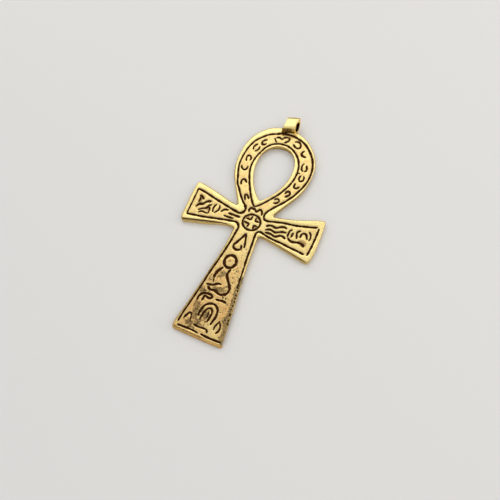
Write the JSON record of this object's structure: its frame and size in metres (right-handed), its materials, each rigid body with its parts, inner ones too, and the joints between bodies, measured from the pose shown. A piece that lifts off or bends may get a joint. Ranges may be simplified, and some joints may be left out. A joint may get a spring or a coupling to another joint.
{
  "type": "ankh pendant",
  "caption": "Cast metal ankh pendant with a teardrop loop, a small round bail on top and an engraved face, worn on a cord or chain.",
  "frame": {"origin": "under the middle of the pendant's box, on its flat back face", "axes": "+Y along the pendant from the foot to the bail, +Z out of the engraved face, +X to the right as the face is seen with the bail up"},
  "size_m": [0.0388, 0.0688, 0.0044],
  "materials": {
    "antique_gold": "cast, antiqued gold with dark engraved lines and a satin, softly worn face"
  },
  "bodies": {
    "root": {"pendant": "antique_gold"}
  },
  "joints": []
}
